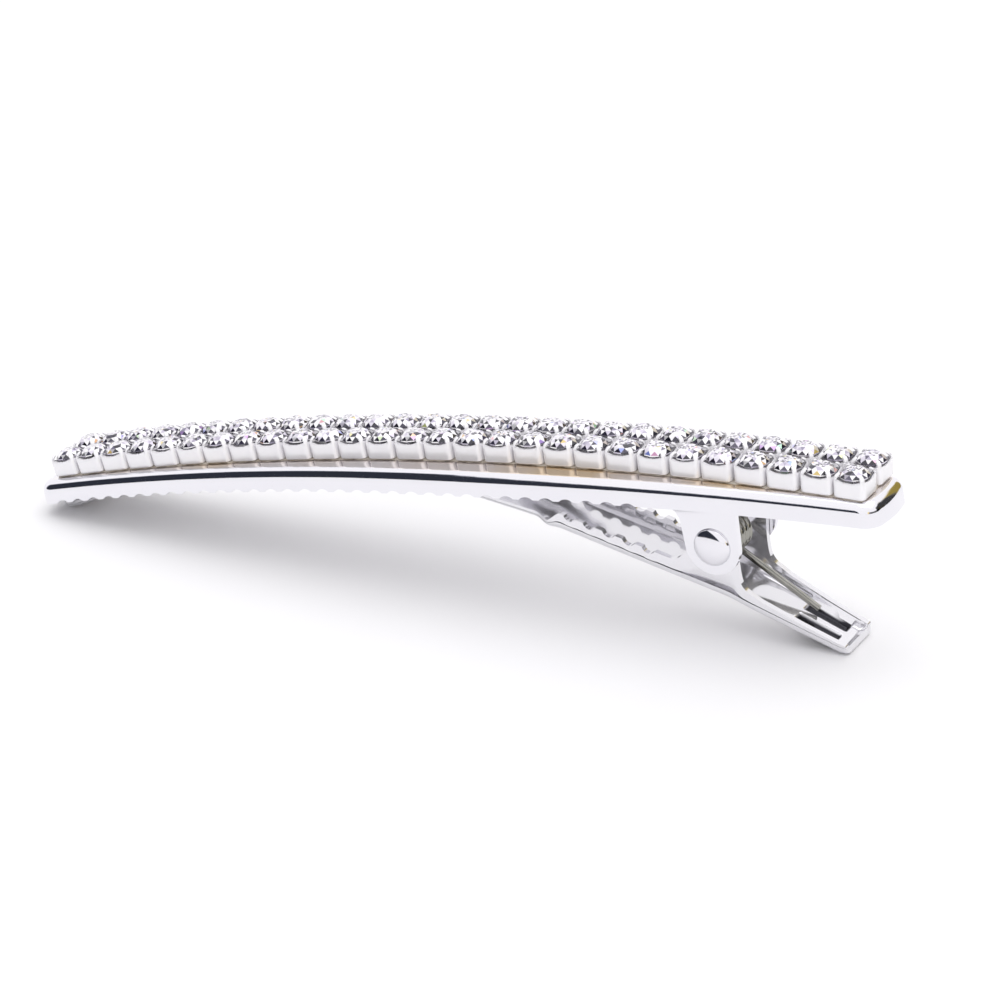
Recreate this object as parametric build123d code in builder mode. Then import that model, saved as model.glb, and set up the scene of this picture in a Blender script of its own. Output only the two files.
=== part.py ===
from build123d import *
import os
from math import asin, atan2, cos, degrees, hypot, radians, sin

# A sprung hair clip dressed with two rows of crystals, lying on a table on its
# tip and on the end of its thumb tab. Millimetres, +Z up, the table at Z = 0,
# the thumb tab towards +X and the tip towards -X.

# overall
clip_tilt = 7.7            # slope of the strap when the clip lies on the table, degrees
strap_x = -0.19           # where the middle of the strap's top stands
strap_z = 9.833
arch_radius = 268.0        # lengthwise arch of the strap
sheet = 0.45               # thickness of the plated steel sheet

# strap
strap_left = -36.2
strap_right = 35.6
flange = 1.75              # depth of the turned-down edge
shoulder = 0.8
end_corner = 1.25          # corners of the strap's plan, rounded
tooth_pitch = 1.6
tooth_radius = 0.8         # round notches between the strap's teeth
tooth_rise = 0.22          # how far they cut in
jaw_tooth_radius = 0.55
jaw_tooth_rise = 0.32

# crystals
stone_count = 28
stone_pitch = 2.5
row_spacing = 2.8
glue = 0.1
cup_size = 2.36
cup_inside = 2.04
cup_wall_top = 1.3
cup_floor = 0.25
stone_radius = 1.1
girdle_level = 1.39
girdle_height = 0.08
crown_height = 0.46
pavilion_depth = 0.85

# pivot and spring
pivot_u = 22.9
pivot_w = -5.7
pin_radius = 0.6
lever_half = 2.65
tab_half = 2.1             # the thumb tab narrows towards its end
lug_gap = 0.06
lug_inner = lever_half + lug_gap
lug_outer = lug_inner + sheet
lug_radius = 2.1
head_radius = 1.45
head_height = 0.5
wire = 0.25
coil_radius = 1.25
coil_turns_start = -1.88
coil_pitch = 0.56

os.makedirs("parts", exist_ok=True)

tilt = radians(clip_tilt)
along = (cos(tilt), 0, sin(tilt))
upward = (-sin(tilt), 0, cos(tilt))

# the clip's own side view: first axis along the strap, second axis out of its top
side = Plane(origin=(strap_x, 0, strap_z), x_dir=along, z_dir=(0, -1, 0))
# the clip's own plan view, level with the middle of the strap's top
plan = Plane(origin=(strap_x, 0, strap_z), x_dir=along, z_dir=upward)


def seat(distance, across, height):
    """Plane on the arched strap, a distance along it, with a height above it."""
    lean = tilt - distance / arch_radius
    out = (-sin(lean), 0, cos(lean))
    reach = arch_radius + height
    origin = (
        strap_x + arch_radius * sin(tilt) + reach * out[0],
        across,
        strap_z - arch_radius * cos(tilt) + reach * out[2],
    )
    return Plane(origin=origin, x_dir=(cos(lean), 0, sin(lean)), z_dir=out)


def arch_drop(distance):
    """How far the strap's top lies below its middle."""
    return arch_radius * (cos(asin(distance / arch_radius)) - 1)


def strap_outline(inset):
    """Plan of the strap: widest near its middle, narrower at both ends."""
    left = strap_left + inset
    right = strap_right - inset
    widths = [(left, 3.5), (-28, 3.8), (-19, 4.1), (-10, 4.4), (-1, 4.68), (4, 4.76)]
    widths += [(11, 4.62), (18, 4.26), (25, 3.78), (31, 3.3), (right, 2.9)]
    return [(u, half - inset) for u, half in widths]


def strap_face(inset):
    """Flat face with the strap's plan outline, its long sides smooth curves."""
    high = strap_outline(inset)
    low = [(u, -half) for u, half in high]
    bow = 0.15
    edges = [
        Spline(*low, mode=Mode.PRIVATE),
        Spline(*high, mode=Mode.PRIVATE),
        ThreePointArc(low[0], (low[0][0] - bow, 0), high[0], mode=Mode.PRIVATE),
        ThreePointArc(low[-1], (low[-1][0] + bow, 0), high[-1], mode=Mode.PRIVATE),
    ]
    return make_face(edges, mode=Mode.PRIVATE)


def arch_face(drop_left, drop_middle, drop_right, top):
    """Side view of the strap: an arched band."""
    end = arch_drop(39.0)
    edges = [
        ThreePointArc((-39, end - top), (0, -top), (39, end - top), mode=Mode.PRIVATE),
        ThreePointArc(
            (-39, end - drop_left), (0, -drop_middle), (39, end - drop_right), mode=Mode.PRIVATE
        ),
        Line((-39, end - top), (-39, end - drop_left), mode=Mode.PRIVATE),
        Line((39, end - top), (39, end - drop_right), mode=Mode.PRIVATE),
    ]
    return make_face(edges, mode=Mode.PRIVATE)


strap_plan_outer = strap_face(0)
strap_plan_inner = strap_face(sheet)
strap_side_outer = arch_face(flange, flange, flange, 0)
strap_side_inner = arch_face(8, 8, 8, sheet)
glue_side = arch_face(0, 0, 0, -glue)

# the space inside the strap's channel
with BuildPart() as channel:
    with BuildSketch(plan.offset(-12)):
        add(strap_plan_inner)
    extrude(amount=14)
    with BuildSketch(side):
        add(strap_side_inner)
    extrude(amount=20, both=True, mode=Mode.INTERSECT)
    corners = channel.edges().filter_by(Axis(plan.origin, plan.z_dir))
    fillet(corners, radius=end_corner - sheet)
    top_face = channel.faces().sort_by(Axis(plan.origin, plan.z_dir))[-1]
    fillet(top_face.edges(), radius=shoulder - sheet)

# one pivot lug, bent in from the flange and down beside the lever
with BuildPart() as lug:
    across_view = Plane(origin=plan.origin, x_dir=(0, 1, 0), z_dir=along)
    with BuildSketch(across_view.offset(18)):
        with BuildLine():
            Polyline(
                (3.7, -2.05),
                (3.7, -2.5),
                (lug_outer, -3.1),
                (lug_outer, -9.0),
                (lug_inner, -9.0),
                (lug_inner, -2.95),
                (3.25, -2.35),
                (3.25, -2.05),
                close=True,
            )
        make_face()
    extrude(amount=10)
    with BuildSketch(side):
        with Locations((pivot_u, pivot_w)):
            Circle(lug_radius)
        with BuildLine():
            Polyline(
                (19.6, 0),
                (20.1, -2.4),
                (20.75, -3.6),
                (pivot_u - lug_radius, pivot_w),
                (pivot_u + lug_radius, pivot_w),
                (25.1, -3.4),
                (25.5, -2.2),
                (26.0, 0),
                close=True,
            )
        make_face()
    extrude(amount=20, both=True, mode=Mode.INTERSECT)

# upper jaw: the arched strap with its toothed flanges and two pivot lugs
with BuildPart() as upper_jaw:
    with BuildSketch(plan.offset(-12)):
        add(strap_plan_outer)
    extrude(amount=14)
    with BuildSketch(side):
        add(strap_side_outer)
    extrude(amount=20, both=True, mode=Mode.INTERSECT)
    corners = upper_jaw.edges().filter_by(Axis(plan.origin, plan.z_dir))
    fillet(corners, radius=end_corner)
    top_face = upper_jaw.faces().sort_by(Axis(plan.origin, plan.z_dir))[-1]
    fillet(top_face.edges(), radius=shoulder)
    add(channel.part, mode=Mode.SUBTRACT)
    # teeth along the lower edges of the flanges, ahead of the pivot
    teeth = [-33.8 + tooth_pitch * step for step in range(33)]
    with BuildSketch(side):
        notch_level = -flange - tooth_radius + tooth_rise
        with Locations(*[(u, arch_drop(u) + notch_level) for u in teeth]):
            Circle(tooth_radius)
    extrude(amount=20, both=True, mode=Mode.SUBTRACT)
    add(lug.part)
    add(lug.part.mirror(Plane.XZ))
    with BuildSketch(side):
        with Locations((pivot_u, pivot_w)):
            Circle(pin_radius + 0.01)
    extrude(amount=20, both=True, mode=Mode.SUBTRACT)
upper_jaw.part.label = "upper_jaw"
export_step(upper_jaw.part, "parts/upper_jaw.step")

# lower jaw: tongue, toothed channel, ears and thumb tab in one bent sheet
tab_start = (23.15, -9.98)
tab_end = (30.9, -14.1)

# side walls: toothed jaw wall, pivot ear and the low wall of the thumb tab
with BuildPart() as lever_walls:
    with BuildSketch(side):
        with BuildLine():
            Polyline(
                (9.3, -4.72),
                (10.6, -3.74),
                (19.2, -6.95),
                (20.0, -6.7),
                (20.9, -5.6),
                (21.3, -4.4),
                (22.1, -3.8),
                (24.2, -3.8),
                (24.75, -4.4),
                (24.35, -6.5),
                (24.35, -8.8),
                (25.7, -9.8),
                (28.65, -11.3),
                (30.85, -12.6),
                (31.55, -13.4),
                (31.45, -14.0),
                tab_end,
                tab_start,
                close=True,
            )
        make_face()
    extrude(amount=lever_half, both=True)
    with BuildSketch(plan.offset(-20)):
        with BuildLine():
            Polyline(
                (9.0, -lever_half),
                (24.8, -lever_half),
                (31.8, -tab_half),
                (31.8, tab_half),
                (24.8, lever_half),
                (9.0, lever_half),
                close=True,
            )
        make_face()
    extrude(amount=40, mode=Mode.INTERSECT)
    with BuildSketch(plan.offset(-20)):
        with BuildLine():
            Polyline(
                (8.0, sheet - lever_half),
                (24.8, sheet - lever_half),
                (32.8, sheet - tab_half),
                (32.8, tab_half - sheet),
                (24.8, lever_half - sheet),
                (8.0, lever_half - sheet),
                close=True,
            )
        make_face()
    extrude(amount=40, mode=Mode.SUBTRACT)

with BuildPart() as lower_jaw:
    with BuildSketch(side):
        with BuildLine():
            under = FilletPolyline(
                (-35.9, -4.85),
                (-34.9, -5.2),
                (-30.6, -3.9),
                (-20, -2.95),
                (-8, -2.3),
                (1.5, -2.5),
                (8.9, -4.6),
                tab_start,
                tab_end,
                (31.5, -14.0),
                radius=0.6,
            )
            offset(under, amount=sheet, side=Side.LEFT)
        make_face()
    extrude(amount=lever_half, both=True)
    # the tongue is narrower than the channel behind it
    with BuildSketch(plan.offset(-20)):
        with BuildLine():
            Polyline(
                (-36.2, -1.0),
                (-35.3, -1.6),
                (-30, -1.9),
                (8.0, -1.9),
                (9.6, -lever_half),
                (24.8, -lever_half),
                (31.8, -tab_half),
                (31.8, tab_half),
                (24.8, lever_half),
                (9.6, lever_half),
                (8.0, 1.9),
                (-30, 1.9),
                (-35.3, 1.6),
                (-36.2, 1.0),
                close=True,
            )
        make_face()
    extrude(amount=40, mode=Mode.INTERSECT)
    add(lever_walls.part)
    # teeth along the upper edges of the jaw walls
    slope = atan2(-6.95 + 3.74, 19.2 - 10.6)
    steps = [0.9 + tooth_pitch * step for step in range(5)]
    with BuildSketch(side):
        lift = jaw_tooth_radius - jaw_tooth_rise
        roots = [(10.6 + s * cos(slope), -3.74 + s * sin(slope)) for s in steps]
        with Locations(*[(u - lift * sin(slope), w + lift * cos(slope)) for u, w in roots]):
            Circle(jaw_tooth_radius)
    extrude(amount=10, both=True, mode=Mode.SUBTRACT)
    with BuildSketch(side):
        with Locations((pivot_u, pivot_w)):
            Circle(pin_radius + 0.05)
    extrude(amount=10, both=True, mode=Mode.SUBTRACT)
    # two pressed grooves in the thumb tab, either side of a rib
    tab_slope = atan2(tab_end[1] - tab_start[1], tab_end[0] - tab_start[0])
    tab_u = (cos(tab_slope), sin(tab_slope))
    tab_face = Plane(
        origin=side.from_local_coords(
            Vector(
                tab_end[0] - 2.6 * tab_u[0] - sheet * tab_u[1],
                tab_end[1] - 2.6 * tab_u[1] + sheet * tab_u[0],
                0,
            )
        ),
        x_dir=(cos(tilt + tab_slope), 0, sin(tilt + tab_slope)),
        z_dir=(-sin(tilt + tab_slope), 0, cos(tilt + tab_slope)),
    )
    with BuildSketch(tab_face):
        with Locations((0, -0.85), (0, 0.85)):
            RectangleRounded(3.4, 1.0, 0.3)
    extrude(amount=-0.22, mode=Mode.SUBTRACT)
lower_jaw.part.label = "lower_jaw"
export_step(lower_jaw.part, "parts/lower_jaw.step")

# pivot pin with a domed rivet head at each end
with BuildPart() as pivot_pin:
    with BuildSketch(side):
        with Locations((pivot_u, pivot_w)):
            Circle(pin_radius)
    extrude(amount=lug_outer + 0.1, both=True)
    for facing in (-1, 1):
        rim = side.offset(facing * lug_outer)
        with BuildSketch(rim):
            with Locations((pivot_u, pivot_w)):
                Circle(head_radius)
        extrude(amount=facing * head_height, taper=50)
pivot_pin.part.label = "pivot_pin"
export_step(pivot_pin.part, "parts/pivot_pin.step")

# torsion spring: a coil round the pin, one leg on the thumb tab, one under the strap
axis_point = side.from_local_coords(Vector(pivot_u, pivot_w, 0))
tab_leg_end = (28.5, -12.55 + sheet + wire + 0.06)
strap_leg_end = (27.8, arch_drop(27.8) - sheet - wire - 0.03)


def leave_angle(target, turn):
    """Angle on the coil where a straight leg to the target leaves it."""
    away = hypot(target[0] - pivot_u, target[1] - pivot_w)
    bearing = atan2(target[1] - pivot_w, target[0] - pivot_u)
    return bearing + turn * (radians(90) - asin(coil_radius / away))


start_angle = leave_angle(strap_leg_end, 1)
finish_angle = leave_angle(tab_leg_end, -1)
sweep_turns = (degrees(finish_angle - start_angle) % 360) / 360 + 4
coil_length = sweep_turns * coil_pitch


def coil_point(angle, across):
    """Point on the coil's centre line."""
    local = Vector(pivot_u + coil_radius * cos(angle), pivot_w + coil_radius * sin(angle), -across)
    return side.from_local_coords(local)


with BuildPart() as torsion_spring:
    with BuildLine() as coil_line:
        turns = Helix(
            coil_pitch,
            coil_length,
            coil_radius,
            center=(axis_point.X, coil_turns_start, axis_point.Z),
            direction=(0, 1, 0),
            lefthand=True,
            mode=Mode.PRIVATE,
        )
        first = turns @ 0
        wanted = coil_point(start_angle, coil_turns_start)
        here = atan2(first.Z - axis_point.Z, first.X - axis_point.X)
        goal = atan2(wanted.Z - axis_point.Z, wanted.X - axis_point.X)
        pin_axis = Axis((axis_point.X, 0, axis_point.Z), (0, -1, 0))
        add(turns.rotate(pin_axis, degrees(goal - here)))
    with BuildSketch(Plane(origin=coil_line.line @ 0, z_dir=coil_line.line % 0)):
        Circle(wire)
    sweep(path=coil_line.line)
    legs = [
        (coil_line.line @ 0, side.from_local_coords(Vector(*strap_leg_end, -coil_turns_start))),
        (coil_line.line @ 1, side.from_local_coords(Vector(*tab_leg_end, -coil_turns_start - coil_length))),
    ]
    for leg_from, leg_to in legs:
        reach = leg_to - leg_from
        with BuildSketch(Plane(origin=leg_from, z_dir=reach)):
            Circle(wire)
        extrude(amount=reach.length)
torsion_spring.part.label = "torsion_spring"
export_step(torsion_spring.part, "parts/torsion_spring.step")

# adhesive bed under both rows
row_length = stone_count * stone_pitch
with BuildPart() as glue_bed:
    with BuildSketch(plan.offset(-6)):
        Rectangle(row_length - 0.8, row_spacing + 2.0)
    extrude(amount=8)
    with BuildSketch(side):
        add(glue_side)
    extrude(amount=20, both=True, mode=Mode.INTERSECT)
glue_bed.part.label = "glue_bed"
export_step(glue_bed.part, "parts/glue_bed.step")

# two strands of square cups, each cup with four claws and joined to the next by a link
places = [(number + 0.5) * stone_pitch - row_length / 2 for number in range(stone_count)]
for row_name, row_side in (("front", -1), ("back", 1)):
    row_middle = row_side * row_spacing / 2
    with BuildPart() as cup_chain:
        with BuildSketch(*[seat(place, row_middle, glue) for place in places]):
            Rectangle(cup_size, cup_size)
            Rectangle(cup_inside, cup_inside, mode=Mode.SUBTRACT)
        extrude(amount=cup_wall_top - glue)
        with BuildSketch(*[seat(place, row_middle, glue) for place in places]):
            Rectangle(cup_size, cup_size)
        extrude(amount=cup_floor)
        with BuildSketch(*[seat(place, row_middle, cup_wall_top - 0.3) for place in places]):
            with GridLocations(1.96, 1.96, 2, 2):
                Circle(0.19)
        extrude(amount=0.62)
        with BuildSketch(*[seat(place, row_middle, cup_wall_top + 0.32) for place in places]):
            with GridLocations(1.82, 1.82, 2, 2):
                Circle(0.19)
        extrude(amount=0.14)
        joints = [place + stone_pitch / 2 for place in places[:-1]]
        with BuildSketch(*[seat(place, row_middle, glue + 0.03) for place in joints]):
            Rectangle(0.4, 0.7)
        extrude(amount=0.18)
    cup_chain.part.label = "cup_chain_" + row_name
    export_step(cup_chain.part, "parts/cup_chain_" + row_name + ".step")

# the crystals, one pair across the clip in each node
for number, place in enumerate(places):
    with BuildPart() as stone_pair:
        for row_side in (-1, 1):
            girdle = seat(place, row_side * row_spacing / 2, girdle_level)
            with BuildSketch(girdle):
                RegularPolygon(stone_radius, 12)
            extrude(amount=girdle_height)
            with BuildSketch(girdle.offset(girdle_height)):
                RegularPolygon(stone_radius, 12)
            extrude(amount=crown_height, taper=46)
            with BuildSketch(girdle):
                RegularPolygon(stone_radius, 12)
            extrude(amount=-pavilion_depth, taper=46)
    stone_pair.part.label = "stone_pair_" + str(number + 1).zfill(2)
    export_step(stone_pair.part, "parts/" + stone_pair.part.label + ".step")
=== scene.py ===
import math

import bmesh
import bpy
import numpy as np
from mathutils import Matrix, Vector


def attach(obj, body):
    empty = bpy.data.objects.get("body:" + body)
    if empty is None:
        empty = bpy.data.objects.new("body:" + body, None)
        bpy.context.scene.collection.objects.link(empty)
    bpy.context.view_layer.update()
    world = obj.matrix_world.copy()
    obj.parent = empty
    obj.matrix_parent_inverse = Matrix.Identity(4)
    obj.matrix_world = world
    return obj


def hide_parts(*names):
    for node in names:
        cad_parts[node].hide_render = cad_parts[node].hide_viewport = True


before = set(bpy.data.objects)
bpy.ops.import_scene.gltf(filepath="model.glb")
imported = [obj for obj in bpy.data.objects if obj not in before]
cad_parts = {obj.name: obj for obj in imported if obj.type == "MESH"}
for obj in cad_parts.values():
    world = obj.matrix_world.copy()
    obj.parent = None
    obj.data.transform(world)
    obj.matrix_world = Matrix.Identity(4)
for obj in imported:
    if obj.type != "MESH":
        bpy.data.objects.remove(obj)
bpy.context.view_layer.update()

# A sprung hair clip: an arched strap with two rows of crystals in cups, and a
# lever pivoted under it on a riveted pin. Sizes are in millimetres until a
# point is placed in the room, which turns it into metres.

MM = 0.001
TILT = math.radians(7.7)
STRAP_X = -0.19
STRAP_Z = 9.833
ARCH = 268.0
SHEET = 0.45
PIVOT_U, PIVOT_W = 22.9, -5.7
STONE_COUNT = 28
STONE_PITCH = 2.5
ROW_SPACING = 2.8
GLUE = 0.1
GIRDLE_LEVEL = 1.39
STONE_RADIUS = 1.1
LUG_INNER = 2.71
LUG_OUTER = LUG_INNER + SHEET
LEVER_HALF = 2.65
LUG_RADIUS = 2.1
JOGGLE = 0.8
PIN_RADIUS = 0.6
HEAD_RADIUS = 1.4
HEAD_SEAT = 0.005
HEAD_RIM = 0.03
HEAD_RISE = 0.45
WIRE = 0.25
COIL = 1.25
COIL_PITCH = 0.56
COIL_START_Y = -1.88
WHOLE_TURNS = 4


# ---------------------------------------------------------------- placing

def on_clip(u, y, w):
    """Clip to room: u runs along the strap, y across it, w out of its top, turned by the tilt."""
    u, y, w = np.broadcast_arrays(u, y, w)
    x = STRAP_X + u * math.cos(TILT) - w * math.sin(TILT)
    z = STRAP_Z + u * math.sin(TILT) + w * math.cos(TILT)
    return np.stack([x, y, z], axis=-1) * MM


def arch_drop(u):
    """How far the strap's top lies below its middle: a circle's sagitta."""
    return np.sqrt(ARCH ** 2 - np.asarray(u, float) ** 2) - ARCH


def on_seat(distance, across, height, lengthwise):
    """Seat on the arched strap: a small frame turned by distance / radius, then moved onto the arch."""
    turn = -distance / ARCH
    u = (ARCH + height) * np.sin(-turn) + lengthwise * math.cos(turn)
    w = (ARCH + height) * np.cos(turn) - ARCH + lengthwise * math.sin(turn)
    return on_clip(u, across, w)


def smoothstep(value):
    """Zero below 0, one above 1, and 3t^2 - 2t^3 between."""
    t = np.clip(value, 0.0, 1.0)
    return t * t * (3 - 2 * t)


def spline(x, knots_x, knots_y):
    """Natural cubic spline: second slopes from one linear system, then cubic pieces between knots."""
    kx, ky = np.asarray(knots_x, float), np.asarray(knots_y, float)
    count = len(kx)
    gap, rise = np.diff(kx), np.diff(ky)
    system, right = np.eye(count), np.zeros(count)
    inner = np.arange(1, count - 1)
    system[inner, inner - 1] = gap[:-1]
    system[inner, inner] = 2 * (gap[:-1] + gap[1:])
    system[inner, inner + 1] = gap[1:]
    right[inner] = 6 * (rise[1:] / gap[1:] - rise[:-1] / gap[:-1])
    bend = np.linalg.solve(system, right)
    x = np.asarray(x, float)
    k = np.clip(np.searchsorted(kx, x) - 1, 0, count - 2)
    a, b, h = kx[k + 1] - x, x - kx[k], gap[k]
    curve = (bend[k] * a ** 3 + bend[k + 1] * b ** 3) / (6 * h)
    return curve + (ky[k] / h - bend[k] * h / 6) * a + (ky[k + 1] / h - bend[k + 1] * h / 6) * b


def rounded(points, radius, steps=9):
    """Polyline with each corner replaced by an arc tangent to both of its sides."""
    points = np.asarray(points, float)
    runs = [points[:1]]
    for before, corner, after in zip(points[:-2], points[1:-1], points[2:]):
        one = (before - corner) / np.linalg.norm(before - corner)
        two = (after - corner) / np.linalg.norm(after - corner)
        half = math.acos(np.clip(one @ two, -1, 1)) / 2
        shorter = min(np.linalg.norm(before - corner), np.linalg.norm(after - corner))
        size = min(radius, 0.45 * math.tan(half) * shorter)
        middle = corner + (one + two) / np.linalg.norm(one + two) * size / math.sin(half)
        foot_one, foot_two = corner + one * size / math.tan(half), corner + two * size / math.tan(half)
        t = np.linspace(0, 1, steps)[:, None]
        chord = foot_one * (1 - t) + foot_two * t - middle
        runs.append(middle + chord / np.linalg.norm(chord, axis=1, keepdims=True) * size)
    runs.append(points[-1:])
    return np.concatenate(runs)


# ---------------------------------------------------------------- meshes

def grid_faces(rows, columns, ring=False, first=0, flip=False):
    """Quads between neighbouring rows and columns; ring joins the last column to the first."""
    index = first + np.arange(rows * columns).reshape(rows, columns)
    if ring:
        index = np.concatenate([index, index[:, :1]], axis=1)
    corners = [index[:-1, :-1], index[:-1, 1:], index[1:, 1:], index[1:, :-1]]
    quads = np.stack(corners, axis=-1).reshape(-1, 4)
    return quads[:, ::-1] if flip else quads


def join(parts):
    """Several (points, faces) put into one, each part's face numbers moved past the parts before it."""
    points, faces, start = [], [], 0
    for part_points, part_faces in parts:
        part_points = np.asarray(part_points, float).reshape(-1, 3)
        points.append(part_points)
        faces.extend([corner + start for corner in face] for face in part_faces)
        start += len(part_points)
    return np.concatenate(points), faces


def shell(outer, inner, ring=False):
    """Sheet from two matching grids: outer face, inner face turned over, and a rim round the open edges."""
    rows, columns = outer.shape[:2]
    count = rows * columns
    points = np.concatenate([outer.reshape(-1, 3), inner.reshape(-1, 3)])
    faces = [grid_faces(rows, columns, ring), grid_faces(rows, columns, ring, count, True)]
    index = np.arange(count).reshape(rows, columns)
    edges = []
    if ring:
        for line in (index[0][::-1], index[-1]):
            edges.append(np.append(line, line[0]))
    else:
        edges.append(np.concatenate([index[0][::-1], index[1:, 0], index[-1][1:], index[::-1, -1][1:]]))
    for line in edges:
        a, b = line[:-1], line[1:]
        faces.append(np.stack([b, a, a + count, b + count], axis=-1)[:, ::-1])
    return points, np.concatenate(faces)


def tube(path, radius, sides=12):
    """Round profile along a path: a circle square to the path at each point, a pole at each end."""
    path = np.asarray(path, float)
    radius = np.broadcast_to(radius, len(path))
    along = np.gradient(path, axis=0)
    along /= np.linalg.norm(along, axis=1, keepdims=True)
    across = np.cross(along, [0.0, 1.0, 0.0])
    weak = np.linalg.norm(across, axis=1) < 0.3
    across[weak] = np.cross(along[weak], [1.0, 0.0, 0.0])
    across /= np.linalg.norm(across, axis=1, keepdims=True)
    other = np.cross(along, across)
    turn = np.arange(sides) * 2 * math.pi / sides
    rim = across[:, None] * np.cos(turn)[None, :, None] + other[:, None] * np.sin(turn)[None, :, None]
    grid = path[:, None] + rim * radius[:, None, None]
    points = np.concatenate([grid.reshape(-1, 3), path[:1], path[-1:]])
    faces = grid_faces(len(path), sides, True).tolist()
    count = len(path) * sides
    one = np.arange(sides)
    two = (one + 1) % sides
    last = count - sides
    faces += np.stack([two, one, one * 0 + count], axis=-1).tolist()
    faces += np.stack([one + last, two + last, one * 0 + count + 1], axis=-1).tolist()
    return points, faces


def piece(name, points, faces, body, slot, finish, replaced=(), crease=35.0, weld=1e-7):
    """One named mesh object: welded, facing outwards, smooth apart from its creases, riding on its body."""
    mesh = bpy.data.meshes.new(name)
    mesh.from_pydata(np.asarray(points, float).reshape(-1, 3).tolist(), [], [list(face) for face in faces])
    made = bmesh.new()
    made.from_mesh(mesh)
    if weld:
        bmesh.ops.remove_doubles(made, verts=made.verts, dist=weld)
        bmesh.ops.dissolve_degenerate(made, edges=made.edges, dist=weld)
    bmesh.ops.recalc_face_normals(made, faces=made.faces)
    if made.calc_volume(signed=True) < 0:
        bmesh.ops.reverse_faces(made, faces=made.faces)
    made.to_mesh(mesh)
    made.free()
    mesh.polygons.foreach_set("use_smooth", np.ones(len(mesh.polygons), bool))
    if crease:
        mesh.set_sharp_from_angle(angle=math.radians(crease))
    mesh.materials.append(finish)
    mesh.update()
    thing = bpy.data.objects.new(name, mesh)
    bpy.context.scene.collection.objects.link(thing)
    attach(thing, body)
    if replaced:
        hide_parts(*replaced)
    return thing


# ---------------------------------------------------------------- finishes

class Wave:
    """A number that varies over a surface: sums and products of it add the nodes that work them out."""

    def __init__(self, finish, socket):
        self.finish = finish
        self.socket = socket

    def maths(self, operation, one, two):
        return self.finish.node("ShaderNodeMath", {"operation": operation}, {0: one, 1: two})

    def __add__(self, other):
        return self.maths("ADD", self, other)

    __radd__ = __add__

    def __sub__(self, other):
        return self.maths("SUBTRACT", self, other)

    def __rsub__(self, other):
        return self.maths("SUBTRACT", other, self)

    def __mul__(self, other):
        return self.maths("MULTIPLY", self, other)

    __rmul__ = __mul__

    def __gt__(self, other):
        return self.maths("GREATER_THAN", self, other)


class Finish:
    """A material: its shader, and the nodes that colour it."""

    def __init__(self, name, **sockets):
        self.material = bpy.data.materials.new(name)
        self.material.use_nodes = True
        self.tree = self.material.node_tree
        self.shader = self.tree.nodes["Principled BSDF"]
        self.set(**{key.replace("_", " "): value for key, value in sockets.items()})
        self.place = self.node("ShaderNodeTexCoord", out="Object")

    def node(self, kind, settings=None, inputs=None, out=0):
        """Adds one node: its settings first, then a value or a link for each named or numbered socket."""
        made = self.tree.nodes.new(kind)
        for key, value in (settings or {}).items():
            if key == "stops":
                ramp = made.color_ramp
                while len(ramp.elements) < len(value):
                    ramp.elements.new(0.5)
                for element, (position, colour) in zip(ramp.elements, value):
                    element.position = position
                    element.color = (*colour, 1.0)
            else:
                setattr(made, key, value)
        for key, value in (inputs or {}).items():
            if isinstance(value, Wave):
                self.tree.links.new(value.socket, made.inputs[key])
            else:
                made.inputs[key].default_value = value
        return Wave(self, made.outputs[out])

    def set(self, **sockets):
        """Sets or links sockets of the shader itself."""
        for key, value in sockets.items():
            if isinstance(value, Wave):
                self.tree.links.new(value.socket, self.shader.inputs[key])
            else:
                self.shader.inputs[key].default_value = value

    def noise(self, scale, detail=2.0, roughness=0.5, stretch=(1, 1, 1)):
        """Cloudy pattern, about 0 to 1, with a number of cells per metre."""
        where = self.node("ShaderNodeMapping", None, {"Vector": self.place, "Scale": stretch})
        return self.node("ShaderNodeTexNoise", None,
                         {"Vector": where, "Scale": scale, "Detail": detail, "Roughness": roughness})

    def ramp(self, factor, *stops):
        """Colour that follows a number through the given stops."""
        return self.node("ShaderNodeValToRGB", {"stops": stops}, {"Fac": factor})

    def blend(self, factor, one, two):
        """Mix of two colours by a number."""
        return self.node("ShaderNodeMix", {"data_type": "RGBA"}, {0: factor, 6: one, 7: two}, out=2)

    def relief(self, height, distance, strength=1.0, below=None):
        """Bump from a height pattern; distance is the height of 1 in metres."""
        inputs = {"Height": height, "Distance": distance, "Strength": strength}
        if below is not None:
            inputs["Normal"] = below
        return self.node("ShaderNodeBump", None, inputs)


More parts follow.
